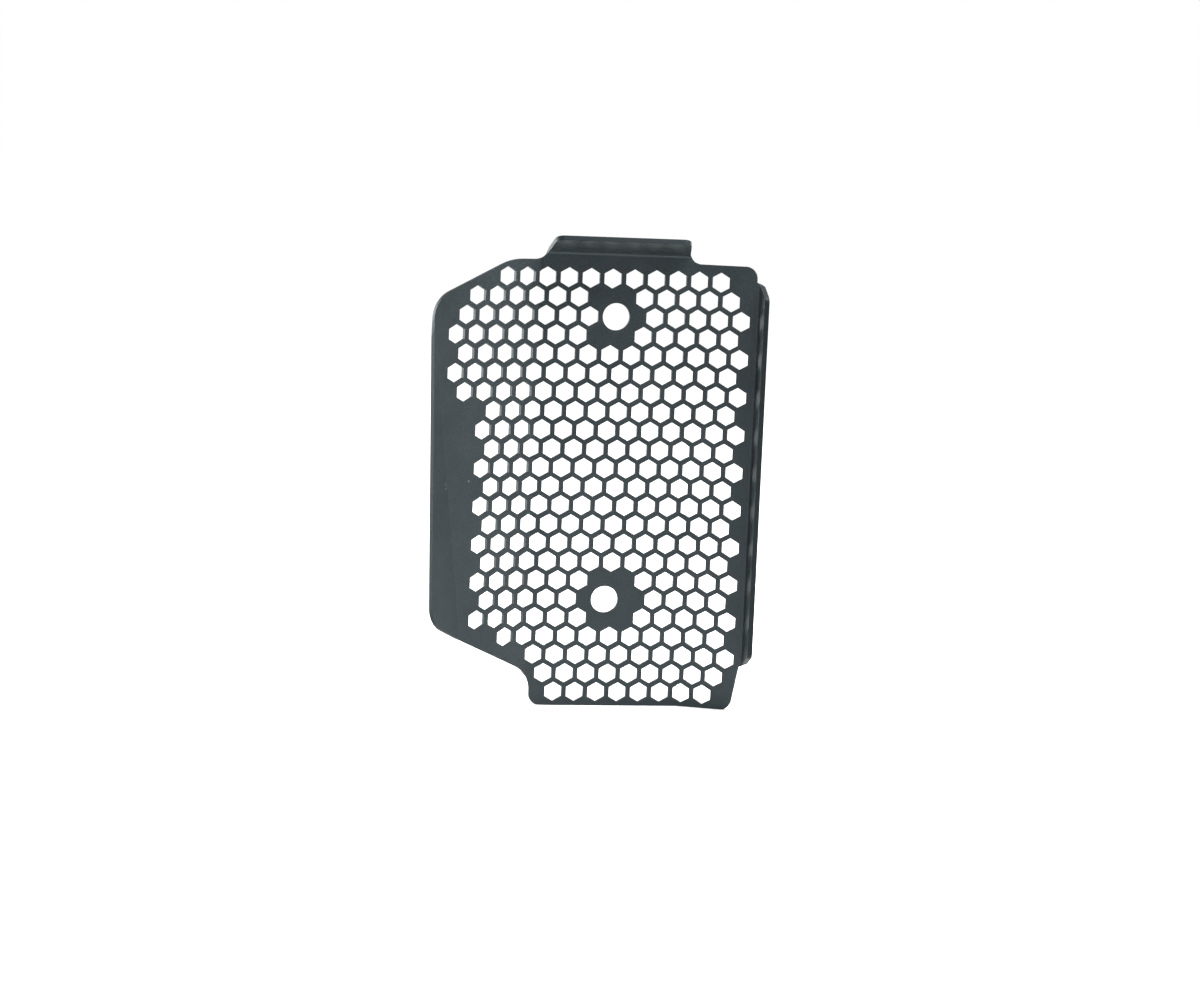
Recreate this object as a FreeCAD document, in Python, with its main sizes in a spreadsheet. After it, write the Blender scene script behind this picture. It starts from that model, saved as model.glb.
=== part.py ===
import FreeCAD, Part
import math
import os
import Sketcher
from FreeCAD import Placement, Rotation, Vector

# Rectifier guard: one perforated sheet, cut flat and then folded towards its front.
# Frame: +Z up, +X to the right seen from the front, front faces -Y.
# Origin: middle of the two bolt holes, on the front face of the panel.
# Every size of the outline is taken on the flat blank, along the middle of the sheet.

# Driving sizes, in millimetres and degrees
SIZES = {
    "sheet_thickness": 1.5,
    "hole_spacing": 84.5,
    "hole_diameter": 8.1,
    "top_height": 58.5,
    "foot_depth": 74.5,
    "panel_width": 46.2,
    "fold_radius": 2.0,
    "foot_left": 21.75,
    "foot_right": 39.5,
    "foot_corner_radius": 3.2,
    "notch_radius": 8.0,
    "wing_angle": 21.3,
    "wing_width": 34.5,
    "wing_top_run": 25.3,
    "wing_top_drop": 12.0,
    "wing_top_corner_radius": 8.8,
    "wing_top_blend_radius": 16.5,
    "wing_low_depth": 48.1,
    "wing_low_corner_radius": 8.0,
    "wing_slope_drop": 16.85,
    "lip_angle": 18.5,
    "lip_top": 38.5,
    "lip_width": 11.15,
    "strip_angle": 19.6,
    "strip_width": 20.0,
    "shoulder_inset": 1.3,
    "shoulder_corner_radius": 3.5,
    "flange_angle": 69.5,
    "flange_radius": 1.0,
    "flange_length": 7.2,
    "flange_top": 54.0,
    "flange_bottom": 61.2,
    "flange_taper": 4.3,
    "flange_corner_radius": 2.0,
    "tab_angle": 65.0,
    "tab_radius": 1.0,
    "tab_root_left": 21.2,
    "tab_root_right": 21.9,
    "tab_edge_left": 19.6,
    "tab_edge_right": 20.1,
    "tab_relief": 2.55,
    "tab_length": 9.6,
    "tab_relief_radius": 3.6,
    "tab_corner_radius": 2.5,
    "hexagon_pitch": 6.5,
    "hexagon_flats": 5.15,
    "hexagon_offset_x": -1.41,
    "hexagon_offset_z": -2.86,
    "hexagon_edge_margin": 3.85,
    "upper_land_radius": 7.7,
    "lower_land_radius": 8.4,
    "wing_margin": 5.8,
    "plain_area_width": 15.6,
    "plain_area_top": 16.8,
}

# Sizes that follow from the driving ones
FORMULAS = {
    "hole_radius": "hole_diameter / 2",
    "hole_height": "hole_spacing / 2",
    "fold_x": "panel_width / 2",
    "wing_edge_x": "-fold_x - wing_width",
    "wing_top_x": "wing_edge_x + wing_top_run",
    "wing_corner_z": "top_height - wing_top_drop",
    "wing_low_z": "-wing_low_depth",
    "notch_z": "wing_low_z - wing_slope_drop",
    "foot_z": "-foot_depth",
    "foot_left_x": "-foot_left",
    "flange_x": "fold_x + strip_width",
    "shoulder_x": "flange_x - shoulder_inset",
    "flange_bottom_z": "-flange_bottom",
    "flange_edge_x": "flange_x + flange_length",
    "flange_edge_top_z": "flange_top - flange_taper",
    "flange_edge_bottom_z": "flange_taper - flange_bottom",
    "tab_fold_z": "top_height + tab_relief",
    "tab_edge_z": "tab_fold_z + tab_length",
    "tab_root_left_x": "-tab_root_left",
    "tab_edge_left_x": "-tab_edge_left",
    "lip_end_x": "wing_edge_x + lip_width",
}

# Corners of the flat blank, clockwise from the tab: the cells of x and z, and of the rounding
CORNERS = [
    ("tab_edge_left_x", "tab_edge_z", "tab_corner_radius"),
    ("tab_edge_right", "tab_edge_z", "tab_corner_radius"),
    ("tab_root_right", "top_height", "tab_relief_radius"),
    ("shoulder_x", "top_height", "shoulder_corner_radius"),
    ("shoulder_x", "flange_top", None),
    ("flange_edge_x", "flange_edge_top_z", "flange_corner_radius"),
    ("flange_edge_x", "flange_edge_bottom_z", "flange_corner_radius"),
    ("shoulder_x", "flange_bottom_z", None),
    ("foot_right", "foot_z", "foot_corner_radius"),
    ("foot_left_x", "foot_z", "foot_corner_radius"),
    ("foot_left_x", "notch_z", "notch_radius"),
    ("wing_edge_x", "wing_low_z", "wing_low_corner_radius"),
    ("wing_edge_x", "wing_corner_z", "wing_top_corner_radius"),
    ("wing_top_x", "top_height", "wing_top_blend_radius"),
    ("tab_root_left_x", "top_height", "tab_relief_radius"),
]

BACKWARDS = Vector(0, 1, 0)
REACH = 1000.0
BEND_STATIONS = 2
CLEARANCE = 0.03
TOUCH = 1e-6

doc = FreeCAD.newDocument("rectifier_guard")
sheet = doc.addObject("Spreadsheet::Sheet", "sizes")


def fill_sheet():
    """Write the driving sizes as numbers and the others as formulas, each with its alias."""
    cells = {name: str(value) for name, value in SIZES.items()}
    cells.update({name: "=" + formula for name, formula in FORMULAS.items()})
    for row, (name, content) in enumerate(cells.items(), start=1):
        sheet.set(f"A{row}", name)
        sheet.set(f"B{row}", content)
        sheet.setAlias(f"B{row}", name)
        sheet.recompute()


def size(name):
    """Return the value of one cell of the sheet."""
    return float(getattr(sheet, name))


def front_plane(body):
    """Return the body's own XZ plane."""
    return next(item for item in body.Origin.OriginFeatures if item.Role == "XZ_Plane")


def new_sketch(body, name):
    """Start a sketch on the front plane of the blank: sketch x is X and sketch y is Z."""
    sketch = body.newObject("Sketcher::SketchObject", name)
    sketch.AttachmentSupport = (front_plane(body), [""])
    sketch.MapMode = "FlatFace"
    return sketch


def bind(sketch, kind, element, cell):
    """Add a dimension to a sketch element and tie it to a cell."""
    index = sketch.addConstraint(Sketcher.Constraint(kind, *element, size(cell)))
    sketch.setExpression(f"Constraints[{index}]", f"sizes.{cell}")


def place_point(sketch, geometry, position, cell_x, cell_z):
    """Tie a sketch point to its two cells, measured from the origin."""
    bind(sketch, "DistanceX", (-1, 1, geometry, position), cell_x)
    bind(sketch, "DistanceY", (-1, 1, geometry, position), cell_z)


def draw_outline(sketch):
    """Draw the sharp outline of the blank, one line from each corner to the next."""
    points = [Vector(size(cell_x), size(cell_z), 0) for cell_x, cell_z, _ in CORNERS]
    count = len(points)
    for index, point in enumerate(points):
        sketch.addGeometry(Part.LineSegment(point, points[(index + 1) % count]))
    for index, (cell_x, cell_z, _) in enumerate(CORNERS):
        sketch.addConstraint(Sketcher.Constraint("Coincident", index - 1 if index else count - 1, 2, index, 1))
        place_point(sketch, index, 1, cell_x, cell_z)


def edge_at(shape, x, z):
    """Return the name of the edge that runs through the sheet at one corner."""
    for number, edge in enumerate(shape.Edges, start=1):
        box = edge.BoundBox
        through = box.XLength < TOUCH and box.ZLength < TOUCH
        if through and math.hypot(box.XMin - x, box.ZMin - z) < TOUCH:
            return f"Edge{number}"
    raise ValueError(f"no corner at {x}, {z}")


def round_corners(body, feature):
    """Round the corners of the padded blank, one fillet for each radius of the sheet."""
    radii = [cell for cell in dict.fromkeys(corner[2] for corner in CORNERS) if cell]
    for cell in radii:
        doc.recompute()
        edges = [edge_at(feature.Shape, size(x), size(z)) for x, z, radius in CORNERS if radius == cell]
        fillet = body.newObject("PartDesign::Fillet", cell.replace("_radius", "_rounding"))
        fillet.Base = (feature, edges)
        fillet.setExpression("Radius", f"sizes.{cell}")
        feature = fillet
    doc.recompute()
    return feature


def drill_holes(body):
    """Cut the two bolt holes, one above the other on the panel's middle line."""
    sketch = new_sketch(body, "bolt_hole_circles")
    for index, side in enumerate((1, -1)):
        centre = Vector(0, side * size("hole_height"), 0)
        sketch.addGeometry(Part.Circle(centre, Vector(0, 0, 1), size("hole_radius")))
        sketch.addConstraint(Sketcher.Constraint("PointOnObject", index, 3, -2))
        bind(sketch, "Radius", (index,), "hole_radius")
    bind(sketch, "DistanceY", (-1, 1, 0, 3), "hole_height")
    bind(sketch, "DistanceY", (1, 3, -1, 1), "hole_height")
    pocket = body.newObject("PartDesign::Pocket", "bolt_holes")
    pocket.Profile = sketch
    pocket.Type = "ThroughAll"
    doc.recompute()
    return pocket


def flat_point(x, z):
    """Return a point of the front face of the flat blank."""
    return Vector(x, 0, z)


def distance_to_segment(point, first, second):
    """Return how far a point lies from a straight edge."""
    run = second - first
    share = (point - first).dot(run) / run.dot(run)
    return (point - first - run * min(1.0, max(0.0, share))).Length


def is_inside(point, corners):
    """Tell whether a point lies inside a closed outline."""
    inside = False
    for first, second in zip(corners, corners[1:] + corners[:1]):
        if (first.z > point.z) != (second.z > point.z):
            crossing = first.x + (point.z - first.z) / (second.z - first.z) * (second.x - first.x)
            inside = inside != (point.x < crossing)
    return inside


def is_punched(centre, corners):
    """Tell whether the honeycomb has a hexagon at this centre.

    The field keeps a margin to the outline, to the flange and to the wing's edge. It leaves
    a round land at each bolt hole and a plain area at the lower part of the wing.
    """
    margin = size("hexagon_edge_margin")
    web = size("hexagon_pitch") - size("hexagon_flats")
    edges = zip(corners, corners[1:] + corners[:1])
    near_edge = any(distance_to_segment(centre, *edge) < margin for edge in edges)
    past_flange = centre.x > size("shoulder_x") - margin
    beside_flange = centre.x > size("shoulder_x") - size("hexagon_pitch")
    past_end = not size("flange_bottom_z") + web < centre.z < size("flange_top") - web
    bare = size("plain_area_width") if centre.z < size("plain_area_top") else size("wing_margin")
    upper_hole = flat_point(0, size("hole_height"))
    lower_hole = flat_point(0, -size("hole_height"))
    on_land = (
        (centre - upper_hole).Length < size("upper_land_radius")
        or (centre - lower_hole).Length < size("lower_land_radius")
    )
    return not (
        near_edge
        or past_flange
        or (beside_flange and past_end)
        or centre.x < size("wing_edge_x") + bare
        or centre.z > size("top_height")
        or on_land
        or not is_inside(centre, corners)
    )


def hexagon_centres():
    """Return the centres of the honeycomb: rows half a pitch apart sideways, points upwards."""
    corners = [flat_point(size(cell_x), size(cell_z)) for cell_x, cell_z, _ in CORNERS]
    pitch = size("hexagon_pitch")
    row_pitch = pitch * math.sqrt(3) / 2
    reach = max(corner.Length for corner in corners)
    rows = math.ceil(reach / row_pitch)
    columns = math.ceil(reach / pitch)
    centres = []
    for row in range(-rows, rows + 1):
        for column in range(-columns, columns + 1):
            x = size("hexagon_offset_x") + pitch * (column + row % 2 / 2)
            centre = flat_point(x, size("hexagon_offset_z") + row_pitch * row)
            if is_punched(centre, corners):
                centres.append(centre)
    return centres


def hexagon(centre):
    """Return the six corners of a hexagon with a point at its top."""
    radius = size("hexagon_flats") / math.sqrt(3)
    angles = [math.radians(30 + 60 * step) for step in range(6)]
    return [centre + Vector(radius * math.cos(angle), 0, radius * math.sin(angle)) for angle in angles]


def plane_face(corners):
    """Return the flat face with these corners."""
    return Part.Face(Part.makePolygon(corners + corners[:1]))


def punch(corners):
    """Return a prism that goes right through the flat sheet."""
    allowance = BACKWARDS * size("sheet_thickness")
    return plane_face([corner - allowance for corner in corners]).extrude(allowance * 3)


class Bend:
    """One fold towards the front, given by its middle line on the flat blank.

    The sheet keeps its length along its middle, so the fold takes up a strip of the blank as wide
    as the arc there. What lies beyond the strip turns about an axis in front of the sheet.
    """

    def __init__(self, middle, across, angle, radius):
        self.across = across
        self.angle = angle
        self.radius = radius
        self.axis = BACKWARDS.cross(across)
        self.arc = (radius + size("sheet_thickness") / 2) * math.radians(angle)
        self.start = middle - across * (self.arc / 2)
        self.pivot = self.start - BACKWARDS * radius

    def turn(self, distance):
        """Return the turn of the sheet at a distance past the start of the fold."""
        return Placement(Vector(), Rotation(self.axis, self.angle * distance / self.arc), self.pivot)

    def far_placement(self):
        """Return the placement of what lies beyond the fold."""
        return self.turn(self.arc) * Placement(self.across * -self.arc, Rotation())

    def block(self, distance, outwards):
        """Return a block over one side of a line along the fold."""
        line = self.start + self.across * distance - BACKWARDS * REACH
        side = self.axis * REACH
        depth = self.across * (REACH if outwards else -REACH)
        corners = [line - side, line + side, line + side + depth, line - side + depth]
        return plane_face(corners).extrude(BACKWARDS * 2 * REACH)

    def far_side(self, shape):
        """Return what of a flat shape lies beyond the fold."""
        return shape.common(self.block(self.arc, True))

    def near_side(self, shape):
        """Return what of a flat shape lies before the fold."""
        return shape.common(self.block(0, False))

    def section(self, distance, low, high, spare=0.0):
        """Return the corners of the sheet's section at a distance, between two places along the fold."""
        front = self.start - BACKWARDS * spare
        back = self.start + BACKWARDS * (size("sheet_thickness") + spare)
        places = [front + self.axis * low, front + self.axis * high]
        places += [back + self.axis * high, back + self.axis * low]
        return [self.turn(distance).multVec(place) for place in places]

    def sleeve(self, stations):
        """Return a tool whose walls stay square to the sheet round the fold.

        It passes the round back of the sheet by little, because its walls are true only there and
        at the front.
        """
        longest = max(after[0] - before[0] for before, after in zip(stations, stations[1:]))
        outer = self.radius + size("sheet_thickness")
        spare = outer / math.cos(math.radians(self.angle * longest / self.arc / 2)) - outer + CLEARANCE
        rings = [self.section(distance, low, high, spare) for distance, low, high in stations]
        faces = [rings[0], rings[-1]]
        for ring, after in zip(rings, rings[1:]):
            for side in range(4):
                first, second = ring[side], ring[side - 3]
                faces.append([first, second, after[side]])
                faces.append([second, after[side - 3], after[side]])
        return Part.makeSolid(Part.makeShell([plane_face(corners) for corners in faces]))

    def span(self, face, distance):
        """Return where the blank begins and ends along one line of the fold."""
        origin = self.start + self.across * distance
        line = Part.makeLine(origin - self.axis * REACH, origin + self.axis * REACH)
        places = [(vertex.Point - self.start).dot(self.axis) for vertex in line.common(face).Vertexes]
        return min(places), max(places)

    def hexagon_stations(self, corners):
        """Return where a hexagon lies along the fold, at each place where its sides change."""
        offsets = [(corner - self.start).dot(self.across) for corner in corners]
        heights = [(corner - self.start).dot(self.axis) for corner in corners]
        low = max(0.0, min(offsets))
        high = min(self.arc, max(offsets))
        if high - low < TOUCH:
            return []
        inner = sorted(offset for offset in offsets if low + TOUCH < offset < high - TOUCH)
        distances = [low]
        distances += [offset for offset, after in zip(inner, inner[1:] + [high]) if after - offset > TOUCH]
        distances.append(high)
        sides = list(zip(offsets, heights, offsets[1:] + offsets[:1], heights[1:] + heights[:1]))
        return [(distance, *self.chord(sides, distance)) for distance in distances]

    def chord(self, sides, distance):
        """Return the lowest and highest place of an outline at one distance past the start."""
        places = []
        for offset, height, next_offset, next_height in sides:
            if min(offset, next_offset) - TOUCH <= distance <= max(offset, next_offset) + TOUCH:
                if abs(next_offset - offset) < TOUCH:
                    places += [height, next_height]
                else:
                    share = (distance - offset) / (next_offset - offset)
                    places.append(height + share * (next_height - height))
        return min(places), max(places)

    def solid(self, face, hexagons):
        """Return the folded strip, trimmed to the outline and with its share of the honeycomb."""
        distances = [self.arc * step / BEND_STATIONS for step in range(BEND_STATIONS + 1)]
        spans = [(distance, *self.span(face, distance)) for distance in distances]
        lowest = min(low for _, low, _ in spans) - size("sheet_thickness")
        highest = max(high for _, _, high in spans) + size("sheet_thickness")
        strip = plane_face(self.section(0, lowest, highest)).revolve(self.pivot, self.axis, self.angle)
        margin = size("sheet_thickness")
        tools = [
            self.sleeve([(distance, lowest - margin, low) for distance, low, _ in spans]),
            self.sleeve([(distance, high, highest + margin) for distance, _, high in spans]),
        ]
        stations = [self.hexagon_stations(corners) for corners in hexagons]
        tools += [self.sleeve(places) for places in stations if places]
        return strip.cut(tools)


def make_blank():
    """Model the flat blank, and return its body and the shape before the holes."""
    body = doc.addObject("PartDesign::Body", "flat_blank")
    outline = new_sketch(body, "blank_outline")
    draw_outline(outline)
    pad = body.newObject("PartDesign::Pad", "blank_thickness")
    pad.Profile = outline
    pad.Reversed = True
    pad.setExpression("Length", "sizes.sheet_thickness")
    rounded = round_corners(body, pad)
    plain = rounded.Shape.copy()
    pocket = drill_holes(body)
    if pocket.Shape.Volume >= plain.Volume:
        raise ValueError("the bolt holes cut nothing")
    return body, plain


def add_piece(name, shape, placement):
    """Add one folded piece of the sheet to the document."""
    piece = doc.addObject("Part::Feature", name)
    piece.Shape = shape
    piece.Placement = placement
    return piece


def fold_sheet(perforated, face, hexagons):
    """Fold the perforated blank and return its pieces, the flat ones and the bends between them."""
    right = Vector(1, 0, 0)
    wing_fold = Bend(flat_point(-size("fold_x"), 0), -right, size("wing_angle"), size("fold_radius"))
    strip_fold = Bend(flat_point(size("fold_x"), 0), right, size("strip_angle"), size("fold_radius"))
    flange_fold = Bend(flat_point(size("flange_x"), 0), right, size("flange_angle"), size("flange_radius"))
    up = Vector(0, 0, 1)
    tab_fold = Bend(flat_point(0, size("tab_fold_z")), up, size("tab_angle"), size("tab_radius"))
    lip_top = flat_point(size("wing_edge_x"), size("lip_top"))
    lip_end = flat_point(size("lip_end_x"), size("wing_low_z"))
    lip_across = (lip_top - lip_end).normalize().cross(BACKWARDS)
    lip_fold = Bend(lip_top, lip_across, size("lip_angle"), size("fold_radius"))

    wing_side = wing_fold.far_side(perforated)
    strip_side = strip_fold.far_side(perforated)
    middle = strip_fold.near_side(wing_fold.near_side(perforated))
    flat = Placement()
    on_wing = wing_fold.far_placement()
    on_strip = strip_fold.far_placement()
    return [
        add_piece("panel", tab_fold.near_side(middle), flat),
        add_piece("tab_bend", tab_fold.solid(face, []), flat),
        add_piece("tab", tab_fold.far_side(middle), tab_fold.far_placement()),
        add_piece("wing_bend", wing_fold.solid(face, hexagons), flat),
        add_piece("wing", lip_fold.near_side(wing_side), on_wing),
        add_piece("lip_bend", lip_fold.solid(face, []), on_wing),
        add_piece("lip", lip_fold.far_side(wing_side), on_wing * lip_fold.far_placement()),
        add_piece("strip_bend", strip_fold.solid(face, hexagons), flat),
        add_piece("strip", flange_fold.near_side(strip_side), on_strip),
        add_piece("flange_bend", flange_fold.solid(face, []), on_strip),
        add_piece("flange", flange_fold.far_side(strip_side), on_strip * flange_fold.far_placement()),
    ]


def check_document(part):
    """Stop if any object failed, or if the part is not one sound solid."""
    for item in doc.Objects:
        if "Invalid" in item.State or "Error" in item.State:
            raise ValueError(f"{item.Name} failed: {item.State}")
    if part.Shape.isNull() or not part.Shape.isValid():
        raise ValueError(f"{part.Label} has an unsound shape")
    if len(part.Shape.Solids) != 1:
        raise ValueError(f"{part.Label} is in {len(part.Shape.Solids)} solids")


fill_sheet()
doc.recompute()
blank, plain_blank = make_blank()
front_face = max(
    (face for face in plain_blank.Faces if abs(face.BoundBox.YMax) < TOUCH), key=lambda face: face.Area
)

hexagons = [hexagon(centre) for centre in hexagon_centres()]
honeycomb = doc.addObject("Part::Feature", "honeycomb")
honeycomb.Shape = Part.makeCompound([punch(corners) for corners in hexagons])
perforated = doc.addObject("Part::Cut", "perforated_blank")
perforated.Base = blank
perforated.Tool = honeycomb
doc.recompute()

guard = doc.addObject("Part::MultiFuse", "guard")
guard.Label = "rectifier_guard"
guard.Shapes = fold_sheet(perforated.Shape, front_face, hexagons)
doc.recompute()
check_document(guard)

os.makedirs("parts", exist_ok=True)
solid = guard.Shape.Solids[0]
solid.exportStep(f"parts/{guard.Label}.step")
print(f"hexagons {len(hexagons)}, volume {solid.Volume:.1f} mm3, box {solid.BoundBox}")
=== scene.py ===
"""Looks of a rectifier guard: a folded, honeycombed sheet with a black satin coat, in a white studio."""

import logging
import math
from dataclasses import dataclass
from enum import Enum
from typing import Any

import bpy
from mathutils import Matrix, Vector


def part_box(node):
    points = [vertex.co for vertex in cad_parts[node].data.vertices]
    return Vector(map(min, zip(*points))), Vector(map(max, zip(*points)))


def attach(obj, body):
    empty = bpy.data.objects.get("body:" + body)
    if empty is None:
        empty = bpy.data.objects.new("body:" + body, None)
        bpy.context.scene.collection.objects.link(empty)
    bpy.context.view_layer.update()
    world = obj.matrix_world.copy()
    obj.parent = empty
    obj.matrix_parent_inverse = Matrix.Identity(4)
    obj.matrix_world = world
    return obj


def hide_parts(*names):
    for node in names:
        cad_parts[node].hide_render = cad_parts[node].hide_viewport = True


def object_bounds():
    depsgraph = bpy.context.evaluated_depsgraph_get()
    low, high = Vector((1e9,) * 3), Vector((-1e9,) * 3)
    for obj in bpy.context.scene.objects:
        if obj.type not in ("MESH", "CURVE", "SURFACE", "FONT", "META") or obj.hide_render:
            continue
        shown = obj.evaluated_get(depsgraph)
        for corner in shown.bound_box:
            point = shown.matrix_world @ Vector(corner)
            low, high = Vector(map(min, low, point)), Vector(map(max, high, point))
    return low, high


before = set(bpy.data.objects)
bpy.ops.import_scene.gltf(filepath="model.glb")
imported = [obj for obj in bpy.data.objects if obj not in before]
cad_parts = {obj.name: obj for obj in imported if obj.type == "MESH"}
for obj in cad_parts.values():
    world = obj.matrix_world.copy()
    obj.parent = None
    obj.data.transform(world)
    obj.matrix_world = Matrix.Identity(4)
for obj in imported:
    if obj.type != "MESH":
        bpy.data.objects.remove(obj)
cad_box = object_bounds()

LOG = logging.getLogger("rectifier_guard")
MM = 0.001
GUARD_NODE = "rectifier_guard"

# A colour Mix node has several sockets of each name, so its own are given by number
MIX_FACTOR, MIX_FIRST, MIX_SECOND = 0, 6, 7
MIX_RESULT = 2


class Ray(Enum):
    """The kinds of ray that see the studio as plain white."""

    CAMERA = "Is Camera Ray"
    GLOSSY = "Is Glossy Ray"
    TRANSMISSION = "Is Transmission Ray"


class CoatSlot(Enum):
    """The material slots of the sheet, in their order."""

    BROAD_FACE = 0
    CUT_WALL = 1


def linear(hex_colour: str) -> tuple[float, float, float, float]:
    """Turn an sRGB hex colour into the linear values that Blender's sockets take.

    Args:
        hex_colour: six hex digits after a hash sign.

    Returns:
        Red, green, blue and an alpha of 1.
    """
    channels = [int(hex_colour[place : place + 2], 16) / 255 for place in (1, 3, 5)]
    red, green, blue = (c / 12.92 if c <= 0.04045 else ((c + 0.055) / 1.055) ** 2.4 for c in channels)
    return red, green, blue, 1.0


def add_node(tree: bpy.types.NodeTree, kind: str, inputs: dict[Any, Any], **settings: Any) -> bpy.types.Node:
    """Add a shader node, set it up and link it.

    Args:
        tree: the node tree that gets the node.
        kind: the node's type.
        inputs: socket name or number to a plain value, or to the output socket that feeds it.
        settings: properties of the node itself.

    Returns:
        The new node.
    """
    node = tree.nodes.new(kind)
    for name, value in settings.items():
        setattr(node, name, value)
    for key, value in inputs.items():
        if isinstance(value, bpy.types.NodeSocket):
            tree.links.new(value, node.inputs[key])
        else:
            node.inputs[key].default_value = value
    return node


def new_material(name: str) -> tuple[bpy.types.Material, bpy.types.NodeTree]:
    """Start a material with an empty node tree.

    Args:
        name: the material's name.

    Returns:
        The material and its node tree.
    """
    material = bpy.data.materials.new(name)
    material.use_nodes = True
    material.node_tree.nodes.clear()
    return material, material.node_tree


def select_only(piece: bpy.types.Object) -> None:
    """Make one object the selected and active one.

    Args:
        piece: the object to work on next.
    """
    bpy.ops.object.select_all(action="DESELECT")
    piece.select_set(True)
    bpy.context.view_layer.objects.active = piece


@dataclass(frozen=True)
class StudioPaper:
    """Matt paper of the studio, the same colour all over."""

    name: str
    colour: str

    def material(self) -> bpy.types.Material:
        """Build the plain paper.

        Returns:
            The finished material.
        """
        material, tree = new_material(self.name)
        paper = add_node(tree, "ShaderNodeBsdfDiffuse", {"Color": linear(self.colour)})
        add_node(tree, "ShaderNodeOutputMaterial", {"Surface": paper.outputs[0]})
        return material


@dataclass(frozen=True)
class NibHighlight:
    """Painted highlight on one small nib in the coat: a pale spot, with no relief of its own, that fades out
    towards its radius.
    """

    place_mm: tuple[float, float, float]
    radius_mm: float
    colour: str


@dataclass(frozen=True)
class SatinCoat:
    """Black satin coat on aluminium sheet.

    A thin, even coat gives a near-black slate colour and a soft, wide reflection of the studio. Its fine
    grain shows in close views, as a faint mottle. The coat lies rougher and duller on the cut walls of the
    sheet, which therefore take a second one of these.

    The tone and cloud ranges are the parts of the noise that are spread over the whole change of colour and
    of roughness.
    """

    name: str = "black_satin_coat"
    dark: str = "#191e20"
    pale: str = "#262b2d"
    gloss_tint: str = "#e4f6fe"
    roughness: tuple[float, float] = (0.37, 0.45)
    ior: float = 1.35
    gloss: float = 0.5
    grain_mm: float = 0.35
    grain_layers: float = 2.0
    grain_depth_mm: float = 0.015
    grain_relief: float = 1.0
    cloud_mm: float = 18.0
    cloud_layers: float = 3.0
    layer_share: float = 0.55
    tone_range: tuple[float, float] = (0.12, 0.40)
    cloud_range: tuple[float, float] = (0.3, 0.7)
    # Painted highlights on small nibs in the coat, laid over its colour
    nib_highlights: tuple[NibHighlight, ...] = ()

    def material(self) -> bpy.types.Material:
        """Build the coat from noise in the part's own coordinates.

        Returns:
            The finished material.
        """
        material, tree = new_material(self.name)
        place = add_node(tree, "ShaderNodeTexCoord", {}).outputs["Object"]
        grain, cloud = (
            add_node(
                tree,
                "ShaderNodeTexNoise",
                {
                    "Vector": place,
                    "Scale": 1.0 / (size_mm * MM),
                    "Detail": layers,
                    "Roughness": self.layer_share,
                },
            ).outputs["Fac"]
            for size_mm, layers in ((self.grain_mm, self.grain_layers), (self.cloud_mm, self.cloud_layers))
        )
        relief = add_node(
            tree,
            "ShaderNodeBump",
            {"Height": grain, "Strength": self.grain_relief, "Distance": self.grain_depth_mm * MM},
        ).outputs["Normal"]
        colour = self.mix_tones(tree, grain, cloud)
        # Lay the painted highlights of the coat's nibs over its colour
        for nib_highlight in self.nib_highlights:
            colour = self.add_nib_highlight(tree, place, colour, nib_highlight)
        least, most = self.cloud_range
        smooth, rough = self.roughness
        roughness = add_node(
            tree,
            "ShaderNodeMapRange",
            {"Value": cloud, "From Min": least, "From Max": most, "To Min": smooth, "To Max": rough},
        ).outputs["Result"]
        shader = add_node(
            tree,
            "ShaderNodeBsdfPrincipled",
            {
                "Base Color": colour,
                "Roughness": roughness,
                "Normal": relief,
                "IOR": self.ior,
                "Specular IOR Level": self.gloss,
                "Specular Tint": linear(self.gloss_tint),
            },
        )
        add_node(tree, "ShaderNodeOutputMaterial", {"Surface": shader.outputs[0]})
        return material

    def mix_tones(
        self, tree: bpy.types.NodeTree, grain: bpy.types.NodeSocket, cloud: bpy.types.NodeSocket
    ) -> bpy.types.NodeSocket:
        """Mix the coat's dark and pale tones by the grain and the clouds.

        Args:
            tree: the material's node tree.
            grain: the fine noise.
            cloud: the broad noise.

        Returns:
            The mixed colour.
        """
        mottle = add_node(tree, "ShaderNodeMath", {0: grain, 1: cloud}, operation="MULTIPLY").outputs[0]
        least, most = self.tone_range
        tone = add_node(
            tree, "ShaderNodeMapRange", {"Value": mottle, "From Min": least, "From Max": most}
        ).outputs["Result"]
        return add_node(
            tree,
            "ShaderNodeMix",
            {MIX_FACTOR: tone, MIX_FIRST: linear(self.dark), MIX_SECOND: linear(self.pale)},
            data_type="RGBA",
        ).outputs[MIX_RESULT]

    def add_nib_highlight(
        self,
        tree: bpy.types.NodeTree,
        place: bpy.types.NodeSocket,
        colour: bpy.types.NodeSocket,
        nib_highlight: NibHighlight,
    ) -> bpy.types.NodeSocket:
        """Lay one painted highlight of a nib in the coat over the coat's colour.

        Args:
            tree: the material's node tree.
            place: the coordinates to read.
            colour: the colour without this painted highlight.
            nib_highlight: the painted highlight of a nib, to add.

        Returns:
            The colour with this painted highlight.
        """
        spot = Vector(nib_highlight.place_mm) * MM
        away = add_node(
            tree, "ShaderNodeVectorMath", {0: place, 1: spot}, operation="DISTANCE"
        ).outputs["Value"]
        cover = add_node(
            tree,
            "ShaderNodeMapRange",
            {"Value": away, "From Max": nib_highlight.radius_mm * MM, "To Min": 1.0, "To Max": 0.0},
            interpolation_type="SMOOTHSTEP",
        ).outputs["Result"]
        # Mix the painted highlight's pale colour in, strongest at its middle
        return add_node(
            tree,
            "ShaderNodeMix",
            {MIX_FACTOR: cover, MIX_FIRST: colour, MIX_SECOND: linear(nib_highlight.colour)},
            data_type="RGBA",
        ).outputs[MIX_RESULT]


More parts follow.
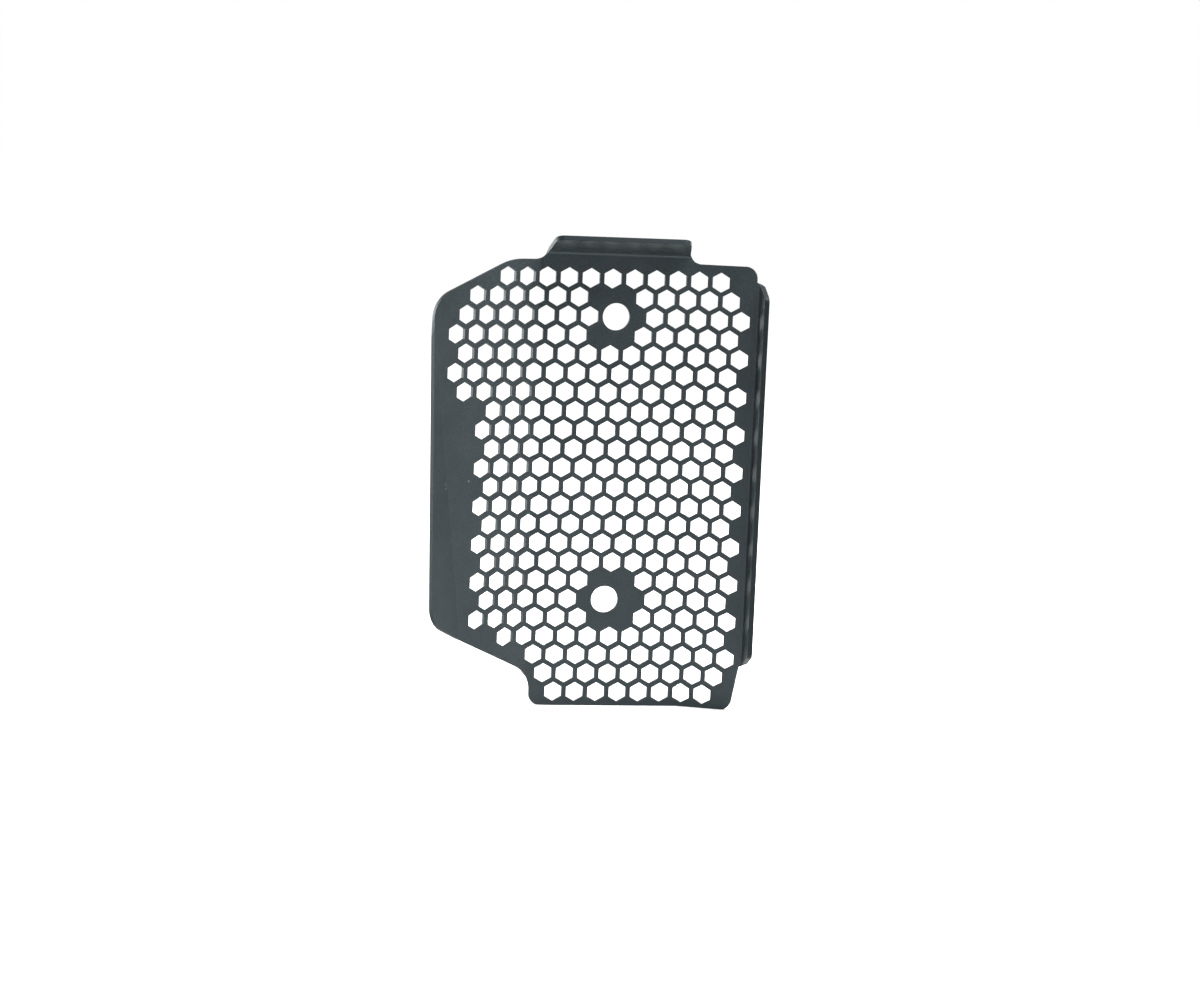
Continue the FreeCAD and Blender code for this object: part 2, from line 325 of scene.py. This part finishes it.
@dataclass
class Guard:
    """The guard itself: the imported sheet, coated and with its cut edges broken."""

    node: str = GUARD_NODE
    slot: str = "coated_sheet"
    weld_mm: float = 0.05
    flat_degrees: float = 0.5
    edge_break_mm: float = 0.06
    edge_segments: int = 2
    crease_degrees: float = 38.0
    broad_faces: int = 2
    coat: SatinCoat = SatinCoat(
        # Painted highlights on the nibs in the coat on the wing's front face
        nib_highlights=(
            NibHighlight((-42.92, -7.78, -6.47), 0.5, "#4c5254"),
            NibHighlight((-49.91, -10.74, -7.2), 0.75, "#333a3c"),
            NibHighlight((-49.84, -10.74, -8.5), 0.5, "#3f4648"),
        )
    )
    cut_coat: SatinCoat = SatinCoat(
        name="dull_black_on_cut_walls", dark="#111618", pale="#151a1c", roughness=(0.47, 0.53), gloss=0.25
    )

    def build(self) -> bpy.types.Object:
        """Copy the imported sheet, coat it and break its edges.

        Returns:
            The finished piece, riding on the root body.
        """
        piece = self.copy_sheet()
        self.coat_faces(piece)
        self.break_edges(piece)
        self.keep_in_box(piece)
        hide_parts(self.node)
        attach(piece, "root")
        return piece

    def copy_sheet(self) -> bpy.types.Object:
        """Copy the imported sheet's mesh, weld its loose triangles and join those that lie flat.

        The joined faces leave few long slivers beside the folds, where a broken edge could turn one over.

        Returns:
            The welded copy.
        """
        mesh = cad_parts[self.node].data.copy()
        piece = bpy.data.objects.new("guard_sheet", mesh)
        bpy.context.scene.collection.objects.link(piece)
        select_only(piece)
        bpy.ops.object.mode_set(mode="EDIT")
        bpy.ops.mesh.select_all(action="SELECT")
        bpy.ops.mesh.remove_doubles(threshold=self.weld_mm * MM)
        bpy.ops.mesh.dissolve_limited(angle_limit=math.radians(self.flat_degrees))
        bpy.ops.object.mode_set(mode="OBJECT")
        bpy.ops.mesh.customdata_custom_splitnormals_clear()
        return piece

    def coat_faces(self, piece: bpy.types.Object) -> None:
        """Give the two broad faces of the sheet the satin coat, and the cut walls the dull one.

        The front and the back of the sheet are the two largest regions, because they run on through the
        bends, and all the others are cut walls.

        Args:
            piece: the welded sheet.
        """
        piece.data.materials.clear()
        for coat in (self.coat, self.cut_coat):
            piece.data.materials.append(coat.material())
        faces = piece.data.polygons
        regions = self.smooth_regions(piece.data)
        regions.sort(key=lambda region: sum(faces[index].area for index in region), reverse=True)
        for rank, region in enumerate(regions):
            slot = CoatSlot.BROAD_FACE if rank < self.broad_faces else CoatSlot.CUT_WALL
            for index in region:
                faces[index].material_index = slot.value
        LOG.info("%d cut walls", len(regions) - self.broad_faces)

    def smooth_regions(self, mesh: bpy.types.Mesh) -> list[list[int]]:
        """Group the faces that meet without a crease.

        Args:
            mesh: the welded sheet.

        Returns:
            The numbers of the faces in each group.
        """
        faces = mesh.polygons
        flat_enough = math.cos(math.radians(self.crease_degrees))
        sides: dict[tuple[int, int], list[int]] = {}
        for face in faces:
            for edge in face.edge_keys:
                sides.setdefault(edge, []).append(face.index)
        joined: list[list[int]] = [[] for _ in faces]
        for pair in sides.values():
            if len(pair) == 2 and faces[pair[0]].normal.dot(faces[pair[1]].normal) > flat_enough:
                joined[pair[0]].append(pair[1])
                joined[pair[1]].append(pair[0])
        regions: list[list[int]] = []
        seen: set[int] = set()
        for start in range(len(faces)):
            if start in seen:
                continue
            seen.add(start)
            region = [start]
            for index in region:
                fresh = [other for other in joined[index] if other not in seen]
                seen.update(fresh)
                region.extend(fresh)
            regions.append(region)
        return regions

    def break_edges(self, piece: bpy.types.Object) -> None:
        """Round off the cut edges and smooth the bends.

        Args:
            piece: the coated sheet.
        """
        select_only(piece)
        crease = math.radians(self.crease_degrees)
        bevel = piece.modifiers.new("edge_break", "BEVEL")
        bevel.width = self.edge_break_mm * MM
        bevel.segments = self.edge_segments
        bevel.limit_method = "ANGLE"
        bevel.angle_limit = crease
        bevel.use_clamp_overlap = False
        bpy.ops.object.modifier_apply(modifier=bevel.name)
        bpy.ops.object.shade_smooth_by_angle(angle=crease)
        weighted = piece.modifiers.new("flat_faces", "WEIGHTED_NORMAL")
        weighted.keep_sharp = True
        bpy.ops.object.modifier_apply(modifier=weighted.name)

    def keep_in_box(self, piece: bpy.types.Object) -> None:
        """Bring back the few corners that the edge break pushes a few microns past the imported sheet.

        Args:
            piece: the sheet with its edges broken.
        """
        low, high = cad_box
        for corner in piece.data.vertices:
            corner.co = [min(max(place, low[axis]), high[axis]) for axis, place in enumerate(corner.co)]


@dataclass(frozen=True)
class Lamp:
    """One soft lamp, aimed at the middle of the guard or at a spot on the floor."""

    name: str
    place_mm: tuple[float, float, float]
    size_mm: float
    watts: float
    aim_mm: tuple[float, float, float] = (0.0, 0.0, 0.0)


@dataclass
class Studio:
    """White floor and surroundings, a dark card, soft lamps and the camera.

    The two lamps at the left hang behind the panel's plane and light the walls that face left.
    """

    floor_size_mm: float = 20000.0
    floor_paper: StudioPaper = StudioPaper("white_paper", "#fbfbfb")
    card_paper: StudioPaper = StudioPaper("dark_paper", "#2c2c2c")
    card_left_mm: float = -150.0
    card_plane_mm: float = -860.0
    card_size_mm: tuple[float, float] = (600.0, 520.0)
    surround: str = "#ffffff"
    ambient: float = 1.05
    lamps: tuple[Lamp, ...] = (
        Lamp("top", (180.0, -70.0, 380.0), 250.0, 4.3),
        Lamp("right_floor", (750.0, -450.0, 275.0), 250.0, 2.3, (750.0, -450.0, -75.0)),
        Lamp("left_rim", (-850.0, 680.0, 100.0), 900.0, 25.0),
        Lamp("left_side", (-1000.0, 190.0, 100.0), 360.0, 10.0),
        Lamp("right_rim", (900.0, 700.0, 300.0), 700.0, 4.0),
    )
    lens_mm: float = 82.72
    sensor_mm: float = 36.0
    camera_place_mm: tuple[float, float, float] = (-136.34, -800.85, 96.54)
    camera_degrees: tuple[float, float, float] = (82.5261, -2.3877, -9.1712)
    camera_shift: tuple[float, float] = (-0.0004, 0.0004)
    camera_reach_mm: tuple[float, float] = (10.0, 100000.0)

    def build(self) -> None:
        """Set up the whole studio."""
        self.lay_floor()
        self.stand_card()
        self.set_world()
        for lamp in self.lamps:
            self.hang(lamp)
        self.set_camera()
        bpy.context.scene.view_settings.view_transform = "Standard"

    @property
    def floor_height(self) -> float:
        """Height of the guard's foot, in metres."""
        low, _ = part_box(GUARD_NODE)
        return low.z

    def lay_floor(self) -> None:
        """Lay a pale floor under the guard's foot."""
        bpy.ops.object.select_all(action="DESELECT")
        bpy.ops.mesh.primitive_plane_add(size=self.floor_size_mm * MM)
        floor = bpy.context.object
        floor.name = "floor"
        floor.data.transform(Matrix.Translation((0.0, 0.0, self.floor_height)))
        floor.data.materials.append(self.floor_paper.material())

    def stand_card(self) -> None:
        """Stand a dark card on the floor behind the camera, where the panel mirrors it.

        Only the coat's gloss sees it, so it hides nothing from a camera and leaves no shadow.
        """
        bpy.ops.object.select_all(action="DESELECT")
        bpy.ops.mesh.primitive_plane_add(size=1.0)
        card = bpy.context.object
        card.name = "dark_card"
        width, height = (length * MM for length in self.card_size_mm)
        upright = Matrix.Rotation(math.radians(90.0), 4, "X") @ Matrix.Diagonal((width, height, 1.0, 1.0))
        left, plane = self.card_left_mm * MM, self.card_plane_mm * MM
        middle = Vector((left + width / 2, plane, self.floor_height + height / 2))
        card.data.transform(Matrix.Translation(middle) @ upright)
        card.data.materials.append(self.card_paper.material())
        card.visible_camera = False
        card.visible_diffuse = False
        card.visible_shadow = False

    def seen_white(self, tree: bpy.types.NodeTree) -> bpy.types.NodeSocket:
        """Tell the rays that see the studio as white from those that light the guard.

        Args:
            tree: the node tree to add to.

        Returns:
            A value of 1 for rays from the camera, from a gloss or through glass, and else 0.
        """
        path = add_node(tree, "ShaderNodeLightPath", {})
        total = path.outputs[Ray.CAMERA.value]
        for ray in (Ray.GLOSSY, Ray.TRANSMISSION):
            total = add_node(
                tree, "ShaderNodeMath", {0: total, 1: path.outputs[ray.value]}, operation="MAXIMUM"
            ).outputs[0]
        return total

    def set_world(self) -> None:
        """Surround the guard with even white light."""
        world = bpy.data.worlds.new("studio")
        bpy.context.scene.world = world
        world.use_nodes = True
        tree = world.node_tree
        tree.nodes.clear()
        strength = add_node(
            tree,
            "ShaderNodeMapRange",
            {"Value": self.seen_white(tree), "To Min": self.ambient, "To Max": 1.0},
        ).outputs["Result"]
        light = add_node(
            tree, "ShaderNodeBackground", {"Color": linear(self.surround), "Strength": strength}
        )
        add_node(tree, "ShaderNodeOutputWorld", {"Surface": light.outputs[0]})

    def hang(self, lamp: Lamp) -> None:
        """Hang one soft lamp, turned towards its aim.

        Args:
            lamp: the lamp's place, size, power and aim.
        """
        light = bpy.data.lights.new(lamp.name, "AREA")
        light.shape = "DISK"
        light.size = lamp.size_mm * MM
        light.energy = lamp.watts
        holder = bpy.data.objects.new(lamp.name, light)
        bpy.context.scene.collection.objects.link(holder)
        holder.location = Vector(lamp.place_mm) * MM
        way = Vector(lamp.aim_mm) - Vector(lamp.place_mm)
        holder.rotation_euler = way.to_track_quat("-Z", "Y").to_euler()

    def set_camera(self) -> None:
        """Put the camera where the photograph was taken from."""
        lens = bpy.data.cameras.new("camera")
        lens.lens = self.lens_mm
        lens.sensor_width = self.sensor_mm
        lens.shift_x, lens.shift_y = self.camera_shift
        lens.clip_start, lens.clip_end = (reach * MM for reach in self.camera_reach_mm)
        camera = bpy.data.objects.new("camera", lens)
        bpy.context.scene.collection.objects.link(camera)
        camera.location = Vector(self.camera_place_mm) * MM
        camera.rotation_euler = [math.radians(angle) for angle in self.camera_degrees]
        bpy.context.scene.camera = camera


def main() -> None:
    """Build the guard and the studio round it."""
    logging.basicConfig(level=logging.INFO)
    guard = Guard().build()
    LOG.info("%s: %d faces", guard.name, len(guard.data.polygons))
    Studio().build()


if __name__ == "__main__":
    main()
